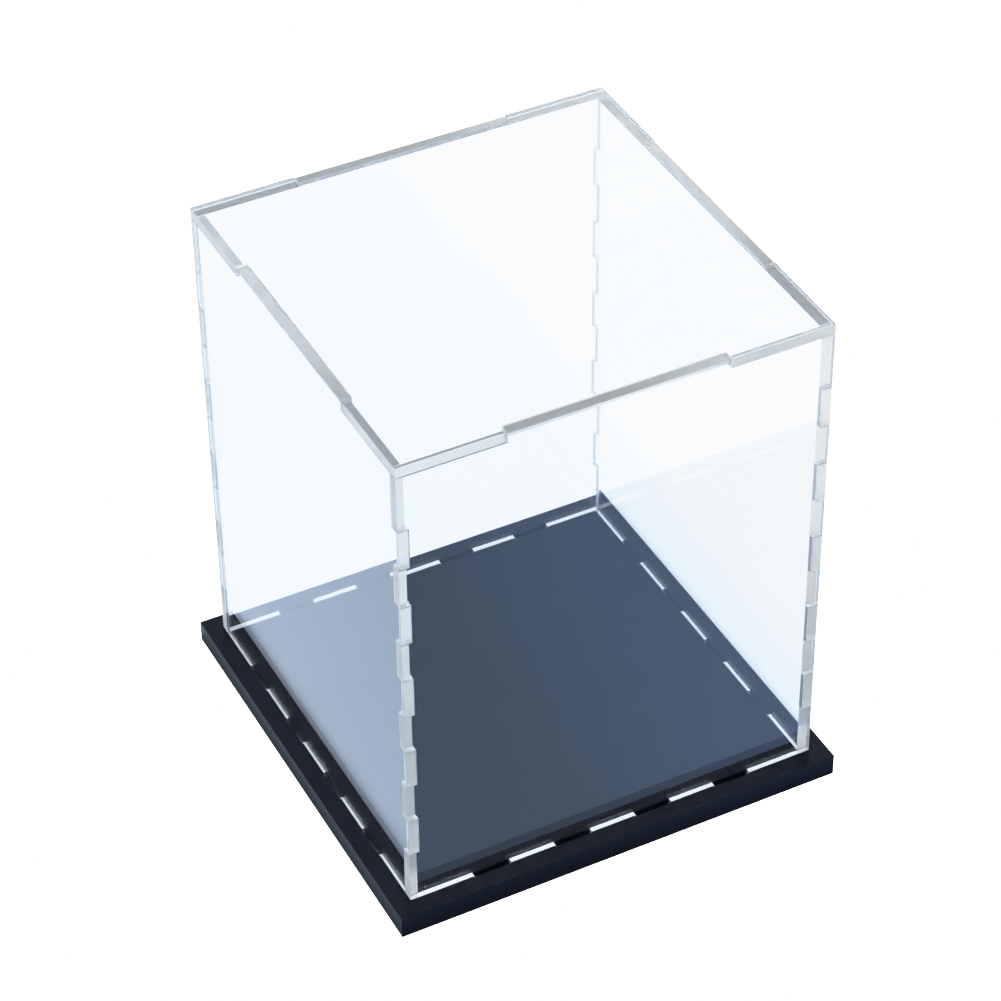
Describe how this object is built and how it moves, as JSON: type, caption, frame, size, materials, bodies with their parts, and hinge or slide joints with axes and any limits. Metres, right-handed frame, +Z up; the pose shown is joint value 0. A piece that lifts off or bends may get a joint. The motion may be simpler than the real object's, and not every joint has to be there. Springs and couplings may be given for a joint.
{
  "type": "acrylic display cube",
  "caption": "Clear box-shaped display case of interlocking flat sheets, standing in the slots of a flat black square base; the cover lifts straight off.",
  "frame": {"origin": "middle of the base's underside, on the surface that the case stands on", "axes": "+Z up, out through the top panel; -Y out through the front wall; +X out through the right wall"},
  "size_m": [0.1084, 0.1084, 0.1255],
  "materials": {
    "clear_acrylic": "clear gloss",
    "black_acrylic": "gloss"
  },
  "bodies": {
    "base": {"base_lower_plate": "black_acrylic", "base_upper_plate": "black_acrylic"},
    "walls": {"front_wall": "clear_acrylic", "right_wall": "clear_acrylic", "back_wall": "clear_acrylic", "left_wall": "clear_acrylic"},
    "top": {"top_panel": "clear_acrylic"}
  },
  "joints": [
    {"name": "cover_lift", "type": "slide", "parent": "base", "child": "walls", "axis": [0, 0, 1], "range_m": [0, 0.125]},
    {"name": "top_lift", "type": "slide", "parent": "walls", "child": "top", "axis": [0, 0, 1], "range_m": [0, 0.04]}
  ]
}
